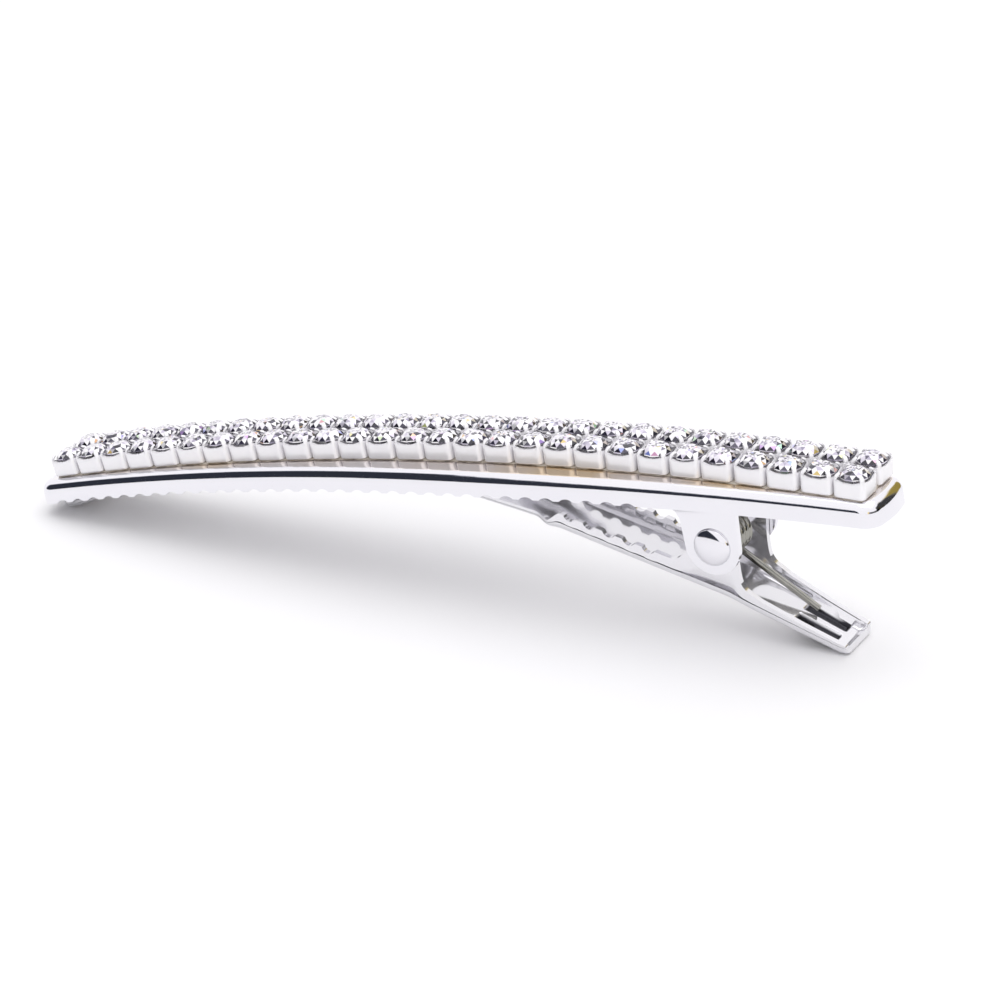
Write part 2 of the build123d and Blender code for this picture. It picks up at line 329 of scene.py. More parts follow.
def bright_plate(name, light, shade, roughness, wave, amber=0.0, pressed=False, metallic=1.0):
    """Plated steel: mirror metal whose polish, tone and flatness wander a little.

    amber adds a warm cast to the level faces, in patches along the strap, a painted reflection of the amber
    glue in the polished ledge; pressed paints near-black shade into the tab's grooves; metallic below 1 adds
    a little plain white, which lightens the inside of a bend.
    """
    plate = Finish(name, Metallic=metallic)
    cloud = plate.noise(160.0, 3.0)
    grain = plate.noise(2600.0, 4.0, 0.65)
    colour = plate.blend(cloud, (*light, 1), (*shade, 1))
    if amber:
        # painted reflection: a warm cast on faces that lie level, where the amber glue shows mirrored in the
        # polished ledge
        facing = plate.node("ShaderNodeNewGeometry", out="Normal")
        lift = plate.node("ShaderNodeSeparateXYZ", None, {0: facing}, out="Z")
        amber_reflection_patch = plate.noise(130.0, 1.0, 0.4, (1.0, 0.2, 0.2))
        level = plate.node("ShaderNodeMapRange", None, {"Value": lift, "From Min": 0.955, "From Max": 0.985})
        warm = plate.ramp(amber_reflection_patch, (0.3, (0.9, 0.86, 0.84)), (0.5, (0.86, 0.78, 0.72)),
                          (0.68, (0.84, 0.66, 0.42)))
        colour = plate.blend(level * amber, colour, warm)
    if pressed:
        # painted shade: the grooves' floors are coloured near black, as deep shade would leave them
        groove_shade_share = plate.node("ShaderNodeAttribute", {"attribute_name": "pressed"}, out="Fac")
        colour = plate.blend(groove_shade_share * (0.95 + 0.3 * grain), colour, (0.02, 0.02, 0.027, 1))
    plate.set(**{"Base Color": colour, "Roughness": roughness + 0.05 * cloud + 0.05 * grain})
    swell = plate.relief(plate.noise(420.0, 1.0), wave)
    plate.set(Normal=plate.relief(grain, 2.5e-6, 0.6, swell))
    return plate.material


PLATE_WAVE = 1.6e-5
strap_plate = bright_plate("strap_plate", (0.86, 0.855, 0.88), (0.81, 0.805, 0.845), 0.04, PLATE_WAVE,
                           amber=0.85)
lever_plate = bright_plate("lever_plate", (0.87, 0.865, 0.885), (0.82, 0.815, 0.85), 0.05, PLATE_WAVE,
                           pressed=True, metallic=0.75)
pin_metal = bright_plate("rivet_metal", (0.86, 0.85, 0.88), (0.78, 0.78, 0.82), 0.04, 8e-6)


def stamped_cup():
    """Cup metal: thin bright plating over a pale coat, with a faint satin grain."""
    cup = Finish("cup_metal", Metallic=0.3)
    cloud = cup.noise(350.0, 3.0)
    grain = cup.noise(3000.0, 3.0, 0.6)
    cup.set(**{
        "Base Color": cup.blend(cloud, (0.97, 0.965, 0.98, 1), (0.93, 0.92, 0.95, 1)),
        "Roughness": 0.16 + 0.1 * cloud + 0.06 * grain,
    })
    cup.set(Normal=cup.relief(grain, 2e-6))
    return cup.material


cup_metal = stamped_cup()


def spring_steel():
    """Drawn wire: grey steel with fine lines along its length and slight darkening."""
    steel = Finish("spring_steel", Metallic=1.0)
    cloud = steel.noise(500.0, 3.0)
    lines = steel.noise(900.0, 2.0, 0.5, (1.0, 9.0, 1.0))
    steel.set(**{
        "Base Color": steel.blend(cloud, (0.45, 0.44, 0.41, 1), (0.2, 0.2, 0.17, 1)),
        "Roughness": 0.05 + 0.08 * lines,
    })
    steel.set(Normal=steel.relief(lines, 3e-6))
    return steel.material


def set_glue():
    """Cured adhesive: smooth amber-grey film, darker and paler in cloudy patches."""
    glue = Finish("set_glue", **{"Coat_Weight": 0.6, "Coat_Roughness": 0.08, "IOR": 1.48})
    cloud = glue.noise(900.0, 3.0)
    glue.set(**{
        "Base Color": glue.ramp(cloud, (0.3, (0.36, 0.31, 0.25)), (0.7, (0.62, 0.57, 0.5))),
        "Roughness": 0.18 + 0.15 * cloud,
    })
    glue.set(Normal=glue.relief(glue.noise(1500.0), 2e-5))
    return glue.material


def cut_crystal():
    """Foiled crystal: each facet carries a painted reflection, a tone from dark to bright,
    and a few carry a painted flash of spectral colour.
    """
    crystal = Finish("cut_crystal", **{"Coat_Weight": 1.0, "Coat_Roughness": 0.01, "IOR": 1.56})
    tone = crystal.node("ShaderNodeAttribute", {"attribute_name": "facet_tone"}, out="Fac")
    painted_fire = crystal.node("ShaderNodeAttribute", {"attribute_name": "facet_fire"}, out="Fac")
    flaw = crystal.noise(2600.0, 2.0)
    grey = crystal.ramp(tone + 0.12 * (flaw - 0.5),
                        (0.0, (0.008, 0.008, 0.014)), (0.27, (0.05, 0.045, 0.08)),
                        (0.4, (0.3, 0.27, 0.38)), (0.62, (0.72, 0.67, 0.79)), (0.85, (1.0, 0.99, 1.0)))
    hue = crystal.ramp(painted_fire,
                       (0.0, (0.2, 0.42, 0.95)), (0.3, (0.62, 0.32, 0.9)),
                       (0.55, (1.0, 0.45, 0.22)), (0.8, (1.0, 0.85, 0.25)), (1.0, (0.3, 0.85, 0.6)))
    crystal.set(**{
        "Base Color": crystal.blend((painted_fire > 0.001) * 0.7, grey, hue),
        "Metallic": 0.2 + 0.25 * tone,
        "Roughness": 0.05 + 0.1 * flaw,
    })
    return crystal.material


wire_metal = spring_steel()
glue_finish = set_glue()
crystal_finish = cut_crystal()


# ---------------------------------------------------------------- strap

STRAP_LEFT, STRAP_RIGHT = -36.2, 35.6
LEFT_HALF, RIGHT_HALF = 3.5, 2.9
END_CORNER = 1.25
END_BOW = 0.14
FLANGE = 1.75
SHOULDER = 0.8
TOOTH_PITCH = 1.6
TOOTH_RADIUS, TOOTH_RISE = 0.8, 0.22
JAW_TOOTH_RADIUS, JAW_TOOTH_RISE = 0.55, 0.32
FIRST_TOOTH, TOOTH_COUNT = -33.8, 33


def strap_half(u):
    """Half width of the strap: widest near its middle, narrower at both ends."""
    return spline(u, (STRAP_LEFT, -28, -19, -10, -1, 4, 11, 18, 25, 31, STRAP_RIGHT),
                  (LEFT_HALF, 3.8, 4.1, 4.4, 4.68, 4.76, 4.62, 4.26, 3.78, 3.3, RIGHT_HALF))


def flange_depth(u):
    """Depth of the turned-down edge, less the round notches between its teeth."""
    number = np.clip(np.round((u - FIRST_TOOTH) / TOOTH_PITCH), 0, TOOTH_COUNT - 1)
    nearest = number * TOOTH_PITCH + FIRST_TOOTH
    circle = np.sqrt(np.clip(TOOTH_RADIUS ** 2 - (u - nearest) ** 2, 0, None))
    return FLANGE - np.clip(circle - (TOOTH_RADIUS - TOOTH_RISE), 0, None)


def strap_loop(corner=END_CORNER, bow=END_BOW):
    """Plan outline, anticlockwise from the tip: side curves, quarter-round corners, slightly bowed ends."""
    cell = np.array([-0.8, -0.67, -0.551, -0.5, -0.42, -0.32, -0.2, -0.1, 0,
                     0.1, 0.2, 0.32, 0.42, 0.5, 0.551, 0.67])
    teeth = (FIRST_TOOTH + TOOTH_PITCH * np.arange(TOOTH_COUNT)[:, None] + cell).ravel()
    side = np.concatenate([np.linspace(STRAP_LEFT + corner, teeth[0], 4)[:-1], teeth,
                           np.linspace(teeth[-1] + 0.15, STRAP_RIGHT - corner, 100)])
    angle = np.linspace(0, math.pi / 2, 10)[1:-1]
    swell, cut = corner * np.sin(angle), corner * (1 - np.cos(angle))
    left_u, right_u = STRAP_LEFT + corner - swell[::-1], STRAP_RIGHT - corner + swell
    u = np.concatenate([left_u, side, right_u])
    half = strap_half(u) - np.concatenate([cut[::-1], side * 0, cut])
    end = np.linspace(-1, 1, 15)
    ends = []
    for at, reach, sense in ((STRAP_RIGHT, RIGHT_HALF - corner, 1), (STRAP_LEFT, LEFT_HALF - corner, -1)):
        ends.append(np.stack([at + sense * bow * (1 - end ** 2), sense * end * reach], axis=-1))
    front = np.stack([u, -half], axis=-1)
    back = np.stack([u, half], axis=-1)[::-1]
    return np.concatenate([front, ends[0], back, ends[1]])


def strap_skin(loop, inset, depth, radius, top):
    """One face of the strap: rows from the spine out to the shoulder, round it, and down to the teeth."""
    step = np.roll(loop, -1, axis=0) - np.roll(loop, 1, axis=0)
    inward = np.stack([-step[:, 1], step[:, 0]], axis=-1) / np.linalg.norm(step, axis=1, keepdims=True)
    spine = np.stack([np.clip(loop[:, 0], STRAP_LEFT + 3.2, STRAP_RIGHT - 3.2), loop[:, 0] * 0], axis=-1)
    shoulder_loop = loop + inward * (inset + radius)
    rows = []
    for share in (1.0, 0.6, 0.25):
        rows.append((shoulder_loop * (1 - share) + spine * share, top + 0 * depth))
    for angle in np.linspace(0, math.pi / 2, 11):
        rows.append((loop + inward * (inset + radius * (1 - math.sin(angle))),
                     top + radius * (1 - math.cos(angle)) + 0 * depth))
    for share in (0.3, 0.6, 0.85, 1.0):
        start = top + radius
        rows.append((loop + inward * inset, start + (depth - start) * share))
    return np.stack([on_clip(flat[:, 0], flat[:, 1], arch_drop(flat[:, 0]) - fall) for flat, fall in rows])


def lug(side):
    """Pivot lug: rows go down from the flange, joggle in towards the lever's wall, end in a half circle."""
    pivot, root = -PIVOT_W, 2.05
    round_end = pivot + LUG_RADIUS * np.sin(np.linspace(0, math.pi / 2, 16))[1:]
    fall = np.concatenate([np.linspace(root, 2.4, 3), np.linspace(2.45, 3.15, 9),
                           np.linspace(3.3, pivot, 10), round_end])
    circle = np.sqrt(np.clip(LUG_RADIUS ** 2 - np.clip(fall - pivot, 0, None) ** 2, 0, None))
    left_side = np.interp(fall, (root, 2.4, 3.6, pivot), (20.03, 20.1, 20.7, 20.8))
    right_side = np.interp(fall, (root, 2.2, 3.4, pivot), (25.54, 25.5, 25.12, 25.0))
    left = np.where(fall < pivot, left_side, PIVOT_U - circle)
    right = np.where(fall < pivot, right_side, PIVOT_U + circle)
    ease = smoothstep((fall - 2.35) / JOGGLE)
    across = np.linspace(0, 1, 25)
    u = left[:, None] + (right - left)[:, None] * across
    root_outer = 3.7
    root_inner = root_outer - SHEET
    outer_y = (root_outer + (LUG_OUTER - root_outer) * ease)[:, None] + 0 * u
    inner_y = (root_inner + (LUG_INNER - root_inner) * ease)[:, None] + 0 * u
    w = -fall[:, None] + 0 * u
    outer, inner = on_clip(u, side * outer_y, w), on_clip(u, side * inner_y, w)
    return shell(outer, inner)


loop = strap_loop()
edge = flange_depth(loop[:, 0])
strap_outside = strap_skin(loop, 0.0, edge, SHOULDER, 0.0)
strap_inside = strap_skin(loop, SHEET, edge, SHOULDER - SHEET, SHEET)
strap_parts = [shell(strap_outside, strap_inside, True), lug(-1.0), lug(1.0)]
piece("strap_shell", *join(strap_parts), "strap", "plated_steel", strap_plate, ("upper_jaw",), crease=40.0)


# ---------------------------------------------------------------- lever

TAB_START, TAB_END = (23.15, -9.98), (30.9, -14.1)
TAB_HALF = 2.1
TONGUE_HALF = 1.9
TONGUE_TIP = -35.9
FLARE_START = 8.0
GROOVE_HALF_LENGTH, GROOVE_HALF_WIDTH = 1.8, 0.6
GROOVE_FROM_END, GROOVE_SIDE, GROOVE_DEPTH = 2.5, 0.85, 0.22


def lever_stations():
    """Where the lever's profile is set: sparse along the tongue, close along the jaw, ears and tab."""
    return np.concatenate([np.linspace(TONGUE_TIP, 9.0, 190)[:-1], np.linspace(9.0, 19.8, 200)[:-1],
                           np.linspace(19.8, 31.5, 170)])


def lever_lines(u):
    """Lower line of the web and upper line of the walls at each station, both in the clip's side view."""
    under = rounded([(-35.9, -4.85), (-34.9, -5.2), (-30.6, -3.9), (-20, -2.95), (-8, -2.3), (1.5, -2.5),
                     (8.9, -4.6), TAB_START, TAB_END, (31.5, -14.0)], 4.0, 15)
    low = np.stack([u, np.interp(u, under[:, 0], under[:, 1])], axis=-1)
    step = np.gradient(low, axis=0)
    up = np.stack([-step[:, 1], step[:, 0]], axis=-1) / np.linalg.norm(step, axis=1, keepdims=True)
    thick = low + up * SHEET
    ribs = np.array([
        (9.2, 9.36, -4.33), (9.35, 9.5, -4.35), (10.35, 10.6, -3.74), (19.3, 19.2, -6.95),
        (19.75, 19.8, -6.85), (20.2, 20.5, -6.3), (20.6, 21.0, -5.35), (20.95, 21.35, -4.4),
        (21.4, 21.9, -3.85), (21.9, 22.5, -3.8), (23.0, 24.1, -3.8), (23.25, 24.55, -4.0),
        (23.4, 24.7, -4.6), (23.6, 24.38, -6.5), (23.95, 24.3, -8.4), (24.3, 24.55, -9.05),
        (25.3, 25.7, -10.0), (28.2, 28.5, -11.72), (30.3, 30.75, -12.98), (30.75, 31.2, -13.2),
        (31.1, 31.5, -13.35), (31.5, 31.44, -13.56),
    ])
    top = np.stack([np.interp(u, ribs[:, 0], ribs[:, 1]), np.interp(u, ribs[:, 0], ribs[:, 2])], axis=-1)
    soften = np.ones(5) / 5
    padded = np.pad(top, ((2, 2), (0, 0)), mode="edge")
    top = np.stack([np.convolve(padded[:, k], soften, "valid") for k in (0, 1)], axis=-1)
    slope = np.array([19.2 - 10.6, -6.95 + 3.74])
    slope /= np.linalg.norm(slope)
    reach = (top - (10.6, -3.74)) @ slope
    nearest = np.clip(np.round((reach - 0.9) / TOOTH_PITCH), 0, 4) * TOOTH_PITCH + 0.9
    circle = np.sqrt(np.clip(JAW_TOOTH_RADIUS ** 2 - (reach - nearest) ** 2, 0, None))
    notch = np.clip(circle - (JAW_TOOTH_RADIUS - JAW_TOOTH_RISE), 0, None) * (u < 19.6)
    top = top - notch[:, None] * np.array([-slope[1], slope[0]])
    tongue = smoothstep((u - 9.1) / 0.25)[:, None]
    return low, thick, thick * (1 - tongue) + top * tongue, up


def channel_skin(low, top, up, half, bend):
    """One face of the channel: down one wall, round the bend, across the web and up the other wall."""
    rise = top - low
    height = np.linalg.norm(rise, axis=1, keepdims=True)
    lift = np.where(height > 0.02, rise / np.maximum(height, 1e-6), up)
    bend = np.minimum(bend, height[:, 0] * 0.8)[:, None]
    wall = np.linspace(1, 0, 9)[None, :-1]
    angle = np.linspace(math.pi / 2, 0, 9)[None, :]
    floor = np.linspace(1, -1, 37)[None, 1:-1]
    up_wall = bend + (height - bend) * wall
    up_bend = bend * (1 - np.sin(angle))
    y_wall = half[:, None] + 0 * wall
    y_bend = half[:, None] - bend * (1 - np.cos(angle))
    y_floor = (half[:, None] - bend) * floor
    climb = np.concatenate([up_wall, up_bend, 0 * y_floor, up_bend[:, ::-1], up_wall[:, ::-1]], axis=1)
    y = np.concatenate([y_wall, y_bend, y_floor, -y_bend[:, ::-1], -y_wall[:, ::-1]], axis=1)
    flat = low[:, None] + lift[:, None] * climb[..., None]
    return flat, y


def groove_share(flat, y):
    """How deep a point lies in the tab's two stamped grooves, 0 to 1: falls off at their ends and sides.
    It also sets how much painted shade the grooves get.
    """
    slope = np.subtract(TAB_END, TAB_START)
    slope = slope / np.linalg.norm(slope)
    run = (flat - TAB_END) @ slope + GROOVE_FROM_END
    ends = smoothstep((GROOVE_HALF_LENGTH - np.abs(run)) / 0.3)
    sides = smoothstep((GROOVE_HALF_WIDTH - np.abs(np.abs(y) - GROOVE_SIDE)) / 0.2)
    return ends * sides


def tab_grooves(flat, y, up):
    """The channel's face pushed down where the grooves are."""
    return flat - up[:, None] * (GROOVE_DEPTH * groove_share(flat, y))[..., None]


def lever_half(u):
    """Half width of the lever: a narrow tongue flared into the channel, and a tab that narrows."""
    half = np.interp(u, (TONGUE_TIP, -35.7, -35.3, -34, -30, FLARE_START),
                     (0.85, 1.2, 1.55, 1.7, TONGUE_HALF, TONGUE_HALF))
    half = half + (LEVER_HALF - TONGUE_HALF) * smoothstep((u - FLARE_START) / 1.7)
    narrowing = (LEVER_HALF - TAB_HALF) * np.clip((u - 24.8) / 7.0, 0, 1)
    return half - narrowing - 0.1 * smoothstep((u - 31.2) / 0.3)


stations = lever_stations()
low, thick, top, up = lever_lines(stations)
half = lever_half(stations)
bend = 0.2 + 0.5 * smoothstep((stations - 9.0) / 1.5)
outer_flat, outer_y = channel_skin(low, top, up, half, bend)
inner_half = half - SHEET * smoothstep((stations - 9.0) / 1.0)
inner_flat, inner_y = channel_skin(thick, top, up, inner_half, bend - 0.2)
outer_flat = tab_grooves(outer_flat, outer_y, up)
inner_flat = tab_grooves(inner_flat, inner_y, up)
outer = on_clip(outer_flat[..., 0], outer_y, outer_flat[..., 1])
inner = on_clip(inner_flat[..., 0], inner_y, inner_flat[..., 1])
lever = piece("lever_channel", *shell(outer, inner), "lever", "plated_steel", lever_plate, ("lower_jaw",),
              crease=40.0)
# painted shade for the tab's grooves: each point's depth in them, stored as a point attribute that the
# lever's finish darkens by
place = np.empty(len(lever.data.vertices) * 3)
lever.data.vertices.foreach_get("co", place)
place = place.reshape(-1, 3) / MM
place_u = (place[:, 0] - STRAP_X) * math.cos(TILT) + (place[:, 2] - STRAP_Z) * math.sin(TILT)
place_w = -(place[:, 0] - STRAP_X) * math.sin(TILT) + (place[:, 2] - STRAP_Z) * math.cos(TILT)
sunk = groove_share(np.stack([place_u, place_w], axis=-1), place[:, 1])
pressed = smoothstep((sunk - 0.2) / 0.4)
layer = lever.data.attributes.new("pressed", "FLOAT", "POINT")
layer.data.foreach_set("value", pressed.astype(np.float32))


# ---------------------------------------------------------------- pin

def turned(profile, sides=64):
    """Profile of (radius, distance along the pin) turned about the pin's axis, a pole at each end."""
    profile = np.asarray(profile, float)
    turn = np.arange(sides) * 2 * math.pi / sides
    u = PIVOT_U + profile[:, :1] * np.cos(turn)
    w = PIVOT_W + profile[:, :1] * np.sin(turn)
    y = profile[:, 1:] + 0 * u
    return on_clip(u, y, w), grid_faces(len(profile), sides, True)


def rivet_profile():
    """Shank with a low domed head at each end: quarter ellipses with a short square rim."""
    angle = np.linspace(math.pi / 2, 0, 14)
    rise = LUG_OUTER + HEAD_RIM + HEAD_RISE * np.sin(angle)
    dome = np.stack([HEAD_RADIUS * np.cos(angle), rise], axis=-1)
    rim = np.array([(HEAD_RADIUS, LUG_OUTER + HEAD_SEAT), (PIN_RADIUS, LUG_OUTER + HEAD_SEAT)])
    head = np.concatenate([dome, rim])
    mirrored = head[::-1] * (1, -1)
    return np.concatenate([head, mirrored])


piece("pivot_rivet", *turned(rivet_profile()), "strap", "pin_steel", pin_metal, ("pivot_pin",), crease=50.0)


# ---------------------------------------------------------------- spring

def coil_angles():
    """Angles where the two straight legs leave the coil, and the whole turn between them."""
    strap_leg = np.array([27.8, float(arch_drop(27.8)) - SHEET - WIRE - 0.03])
    tab_leg = np.array([28.5, -12.55 + SHEET + WIRE + 0.06])
    angles = []
    for target, turn in ((strap_leg, 1), (tab_leg, -1)):
        away = np.hypot(*(target - (PIVOT_U, PIVOT_W)))
        bearing = math.atan2(target[1] - PIVOT_W, target[0] - PIVOT_U)
        angles.append(bearing + turn * (math.pi / 2 - math.asin(COIL / away)))
    return strap_leg, tab_leg, angles[0], angles[1]


def coil_line(angle, y):
    """Helix about the pin: a circle in the side view whose y grows with the angle."""
    return on_clip(PIVOT_U + COIL * np.cos(angle), y, PIVOT_W + COIL * np.sin(angle))


strap_leg, tab_leg, start, finish = coil_angles()
turns = ((finish - start) % (2 * math.pi)) + WHOLE_TURNS * 2 * math.pi
coil_end_y = COIL_START_Y + COIL_PITCH * turns / (2 * math.pi)
share = np.linspace(0, 1, 260)
coil_path = coil_line(start + turns * share, COIL_START_Y + (coil_end_y - COIL_START_Y) * share)
leg_share = np.linspace(1, 0, 12)[:-1, None]
leg_root = coil_path[0]
leg_tip = on_clip(strap_leg[0], COIL_START_Y, strap_leg[1])
strap_path = np.concatenate([leg_root + (leg_tip - leg_root) * leg_share, coil_path])
piece("spring_coil", *tube(strap_path, WIRE * MM, 14), "strap", "spring_wire", wire_metal,
                    ("torsion_spring",), crease=50.0)

# the tab leg starts with a short length inside the coil's last turn, a hair thinner than the coil's wire
tail_share = np.linspace(0.93, 1, 24)
tail_path = coil_line(start + turns * tail_share, COIL_START_Y + (coil_end_y - COIL_START_Y) * tail_share)
tab_tip = on_clip(tab_leg[0], coil_end_y, tab_leg[1])
leg_path = tail_path[-1] + (tab_tip - tail_path[-1]) * np.linspace(0, 1, 16)[1:, None]
whole_leg = np.concatenate([tail_path, leg_path])
piece("spring_tab_leg", *tube(whole_leg, WIRE * MM * 0.998, 14), "lever", "spring_wire", wire_metal,
      ("torsion_spring",), crease=50.0)


# ---------------------------------------------------------------- cups and crystals

CUP = 2.36
WALL = 0.13
places = (np.arange(STONE_COUNT) + 0.5) * STONE_PITCH - STONE_COUNT * STONE_PITCH / 2


def square_ring(half, corner, sides=10):
    """Rounded square: a quarter circle at each corner joined by straight sides, anticlockwise."""
    angle = np.linspace(0, math.pi / 2, 6)
    reach = half - corner
    runs = []
    for quarter, (cx, cy) in enumerate(((1, 1), (-1, 1), (-1, -1), (1, -1))):
        turn = angle + quarter * math.pi / 2
        arc_x, arc_y = cx * reach + corner * np.cos(turn), cy * reach + corner * np.sin(turn)
        runs.append(np.stack([arc_x, arc_y], axis=-1))
        after = np.array([(-1, 1), (-1, -1), (1, -1), (1, 1)][quarter]) * reach
        out = np.array([math.cos(turn[-1]), math.sin(turn[-1])]) * corner
        start_point, end_point = runs[-1][-1], after + out
        step = np.linspace(0, 1, sides)[1:-1, None]
        runs.append(start_point + (end_point - start_point) * step)
    return np.concatenate(runs)


def cup_shape():
    """Cup: a rounded square carried up from a rolled foot, its lip dipping between the corners."""
    outline = square_ring(CUP / 2, 0.34)
    inside = square_ring(CUP / 2 - WALL, 0.24)
    middle = np.minimum(np.abs(outline[:, 0]), np.abs(outline[:, 1])) / (CUP / 2 - 0.2)
    lip = 1.27 + 0.14 * smoothstep((middle - 0.3) / 0.7)
    rows = []
    for scale, height in ((0.0, GLUE), (0.7, GLUE), (0.955, GLUE), (0.985, GLUE + 0.03),
                          (0.998, GLUE + 0.08), (1.0, GLUE + 0.14)):
        rows.append((outline * scale, height + 0 * lip))
    rows.append((outline, lip * 0.65 + 0.1))
    rows.append((outline, lip - 0.04))
    rows.append((outline * 0.985, lip))
    rows.append((inside, lip - 0.02))
    rows.append((inside, 0.5 + 0 * lip))
    rows.append((inside * 0.0, 0.4 + 0 * lip))
    grid = np.stack([np.concatenate([flat, height[:, None]], axis=1) for flat, height in rows])
    return grid.reshape(-1, 3), grid_faces(len(rows), len(outline), True)


def claw_shape(cx, cy):
    """Claw: a flattened finger up the cup's corner, folded in over the crystal, open at its foot and tip."""
    reach = np.array([1.06, 1.05, 1.0, 0.93, 0.85, 0.79, 0.77])
    height = np.array([1.15, 1.38, 1.52, 1.64, 1.72, 1.75, 1.755])
    size = np.array([0.1, 0.15, 0.18, 0.18, 0.15, 0.1, 0.02])
    turn = np.arange(8) * math.pi / 4
    lean = np.array([0, 0.15, 0.45, 0.8, 1.1, 1.2, 1.2])
    out = np.array([cx, cy]) / math.sqrt(2)
    side = np.array([-cy, cx]) / math.sqrt(2)
    radial = size[:, None] * 0.62 * np.cos(turn)
    wide = size[:, None] * np.sin(turn)
    along_out = reach[:, None] * math.sqrt(2) * 0.965 + radial * np.cos(lean)[:, None]
    rise = height[:, None] + radial * np.sin(lean)[:, None]
    flat = along_out[..., None] * out + wide[..., None] * side
    grid = np.concatenate([flat, rise[..., None]], axis=-1)
    return grid.reshape(-1, 3), grid_faces(len(size), 8, True)


def link_shape():
    """Link: a short low strap between two cups, an arched top on a flat foot."""
    along, across = np.meshgrid(np.linspace(-0.22, 0.22, 4), np.linspace(-0.35, 0.35, 9), indexing="ij")
    crown = 0.24 * np.sqrt(np.clip(1 - (across / 0.36) ** 2, 0, 1))
    top_grid = np.stack([along, across, GLUE + 0.04 + crown], axis=-1)
    foot = np.stack([along, across, GLUE + 0.0 * crown], axis=-1)
    return shell(top_grid, foot)


def seated(points, distance, across):
    """Small part turned and moved onto its seat: x along the strap, y across it, z out of it."""
    return on_seat(distance, across + points[:, 1], points[:, 2], points[:, 0])


rng = np.random.RandomState(7)
cup_parts = [cup_shape()] + [claw_shape(cx, cy) for cx in (-1, 1) for cy in (-1, 1)]
cup_points, cup_faces = join(cup_parts)
link_points, link_faces = link_shape()
for row, side in (("front", -1), ("back", 1)):
    parts = []
    for number, distance in enumerate(places):
        nudge = rng.uniform(-0.025, 0.025, 2)
        wobble = math.radians(rng.uniform(-1.2, 1.2))
        turned_points = cup_points.copy()
        turned_points[:, 0] = cup_points[:, 0] * math.cos(wobble) - cup_points[:, 1] * math.sin(wobble)
        turned_points[:, 1] = cup_points[:, 0] * math.sin(wobble) + cup_points[:, 1] * math.cos(wobble)
        turned_points[:, :2] *= 1.0 - 0.01 * rng.uniform()
        moved = turned_points + (nudge[0], nudge[1], 0)
        parts.append((seated(moved, distance, side * ROW_SPACING / 2), cup_faces))
        if number < STONE_COUNT - 1:
            between = distance + STONE_PITCH / 2
            parts.append((seated(link_points, between, side * ROW_SPACING / 2), link_faces))
    piece("cup_strand_" + row, *join(parts), "strap", "cup_metal", cup_metal, ("cup_chain_" + row,),
          crease=38.0, weld=1e-8)


STONE_SIDES = 12
TABLE_RISE = 0.52
POINT_DROP = 0.8
RIM_START = 7 * STONE_SIDES


def stone_shape(sides=STONE_SIDES):
    """Crystal: twelve-sided rings from the table to the girdle and the point, joined by zigzag facets."""
    rings = [(0.22, TABLE_RISE, 0.5), (0.44, TABLE_RISE, 0.0), (0.64, TABLE_RISE, 0.5), (0.88, 0.34, 0.0),
             (STONE_RADIUS, 0.08, 0.5), (STONE_RADIUS, 0.0, 0.5)]
    number = np.arange(sides)
    after = (number + 1) % sides
    points, faces = [np.array([(0.0, 0.0, TABLE_RISE)])], []
    for radius, height, offset in rings:
        angle = (number + offset) * 2 * math.pi / sides
        ring = [radius * np.cos(angle), radius * np.sin(angle), height + 0 * angle]
        points.append(np.stack(ring, axis=-1))
    points.append(np.array([(0.0, 0.0, -POINT_DROP)]))
    faces += np.stack([number * 0, 1 + number, 1 + after], axis=-1).tolist()
    for k, (inner, outer) in enumerate(zip(rings[:-1], rings[1:])):
        a, b = 1 + k * sides, 1 + (k + 1) * sides
        if inner[2] > outer[2]:
            faces += np.stack([a + number, b + number, b + after], axis=-1).tolist()
            faces += np.stack([a + number, b + after, a + after], axis=-1).tolist()
        elif inner[2] < outer[2]:
            faces += np.stack([a + number, b + number, a + after], axis=-1).tolist()
            faces += np.stack([b + number, b + after, a + after], axis=-1).tolist()
        else:
            faces += np.stack([a + number, b + number, b + after, a + after], axis=-1).tolist()
    foot = 1 + (len(rings) - 1) * sides
    faces += np.stack([foot + number, number * 0 + foot + sides, foot + after], axis=-1).tolist()
    return np.concatenate(points), faces


